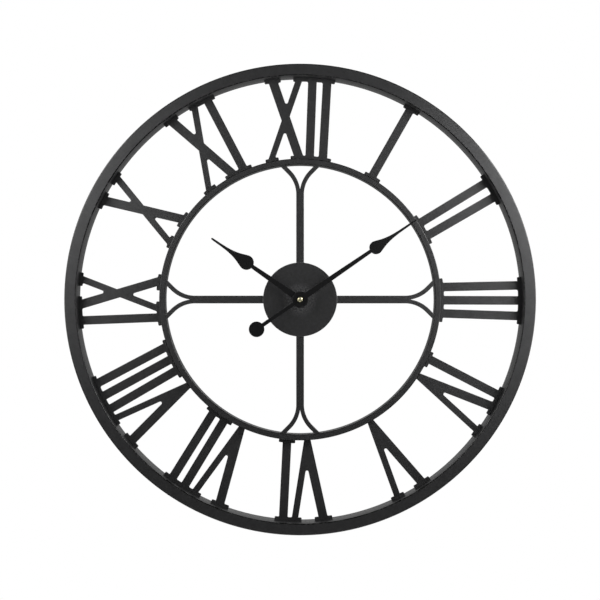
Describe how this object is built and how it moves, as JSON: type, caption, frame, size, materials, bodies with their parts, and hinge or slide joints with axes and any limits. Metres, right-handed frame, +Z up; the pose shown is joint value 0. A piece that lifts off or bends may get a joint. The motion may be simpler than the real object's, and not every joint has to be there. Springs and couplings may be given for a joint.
{
  "type": "wall clock",
  "caption": "Open-frame metal wall clock: cut-out Roman numeral plates between two rings, forked spokes, a hub disc, and a battery quartz movement that turns leaf-shaped hands.",
  "frame": {"origin": "the point on the wall plane where the hook carries the keyhole; the middle of the dial is 295 mm straight below it", "axes": "+Z up towards 12 o'clock, +X towards 3 o'clock, +Y into the wall, so the dial faces -Y"},
  "size_m": [0.6, 0.031, 0.6],
  "materials": {
    "powder_black": "fine-textured black powder coat on steel",
    "hand_black": "smooth satin black paint",
    "brass": "bright turned",
    "steel": "plain rolled and turned",
    "contact_plating": "nickel-plated spring steel",
    "copper_wire": "enamelled copper winding",
    "case_plastic": "spark-textured moulding",
    "gear_plastic": "natural acetal",
    "knob_plastic": "natural acetal, ridged",
    "rubber": "smooth",
    "board_green": "glass-epoxy board with solder mask",
    "chip_epoxy": "epoxy drop",
    "magnet": "sintered",
    "battery_can": null
  },
  "bodies": {
    "frame": {"outer_ring": "powder_black", "inner_ring": "powder_black", "numeral_01": "powder_black", "numeral_02": "powder_black", "numeral_03": "powder_black", "numeral_04": "powder_black", "numeral_05": "powder_black", "numeral_06": "powder_black", "numeral_07": "powder_black", "numeral_08": "powder_black", "numeral_09": "powder_black", "numeral_10": "powder_black", "numeral_11": "powder_black", "numeral_12": "powder_black", "spoke_top": "powder_black", "spoke_right": "powder_black", "spoke_bottom": "powder_black", "spoke_left": "powder_black", "hub_disc": "powder_black", "rubber_washer": "rubber", "brass_washer": "brass", "hex_nut": "brass", "threaded_bushing": "brass", "front_case": "case_plastic", "middle_plate": "gear_plastic", "rear_cover": "case_plastic", "stator": "steel", "coil_core": "steel", "coil": "copper_wire", "circuit_board": "board_green", "chip": "chip_epoxy", "quartz_crystal": "steel", "battery": "battery_can", "contact_plus": "contact_plating", "contact_minus": "contact_plating"},
    "minute_assembly": {"minute_hand": "hand_black", "minute_cap_nut": "brass", "minute_arbor": "steel", "centre_wheel": "gear_plastic"},
    "hour_assembly": {"hour_hand": "hand_black", "hour_wheel": "gear_plastic"},
    "third_wheel": {"third_wheel": "gear_plastic"},
    "second_wheel": {"second_wheel": "gear_plastic"},
    "intermediate_wheel": {"intermediate_wheel": "gear_plastic"},
    "rotor": {"rotor_pinion": "gear_plastic", "rotor_magnet": "magnet"},
    "motion_wheel": {"motion_wheel": "gear_plastic"},
    "setting_knob": {"setting_knob": "knob_plastic"}
  },
  "joints": [
    {"name": "minute_hand_turn", "type": "hinge", "parent": "frame", "child": "minute_assembly", "pos_m": [0, 0, -0.295], "axis": [0, 1, 0], "continuous": true},
    {"name": "hour_hand_turn", "type": "hinge", "parent": "frame", "child": "hour_assembly", "pos_m": [0, 0, -0.295], "axis": [0, 1, 0], "continuous": true},
    {"name": "third_wheel_turn", "type": "hinge", "parent": "frame", "child": "third_wheel", "pos_m": [-0.00913, 0, -0.29168], "axis": [0, 1, 0], "continuous": true},
    {"name": "second_wheel_turn", "type": "hinge", "parent": "frame", "child": "second_wheel", "pos_m": [-0.00754, 0, -0.28264], "axis": [0, 1, 0], "continuous": true},
    {"name": "intermediate_wheel_turn", "type": "hinge", "parent": "frame", "child": "intermediate_wheel", "pos_m": [-0.00044, 0, -0.28005], "axis": [0, 1, 0], "continuous": true},
    {"name": "rotor_turn", "type": "hinge", "parent": "frame", "child": "rotor", "pos_m": [0.00712, 0, -0.28005], "axis": [0, 1, 0], "continuous": true},
    {"name": "motion_wheel_turn", "type": "hinge", "parent": "frame", "child": "motion_wheel", "pos_m": [0.00773, 0, -0.29707], "axis": [0, 1, 0], "continuous": true},
    {"name": "setting_knob_turn", "type": "hinge", "parent": "frame", "child": "setting_knob", "pos_m": [0.01573, 0, -0.29707], "axis": [0, 1, 0], "continuous": true}
  ],
  "couplings": [
    {"joint": "hour_hand_turn", "follows": "minute_hand_turn", "ratio": 0.083333},
    {"joint": "third_wheel_turn", "follows": "minute_hand_turn", "ratio": -8},
    {"joint": "second_wheel_turn", "follows": "minute_hand_turn", "ratio": 60},
    {"joint": "intermediate_wheel_turn", "follows": "minute_hand_turn", "ratio": -360},
    {"joint": "rotor_turn", "follows": "minute_hand_turn", "ratio": 1800},
    {"joint": "motion_wheel_turn", "follows": "minute_hand_turn", "ratio": -0.33333},
    {"joint": "setting_knob_turn", "follows": "minute_hand_turn", "ratio": 1}
  ]
}
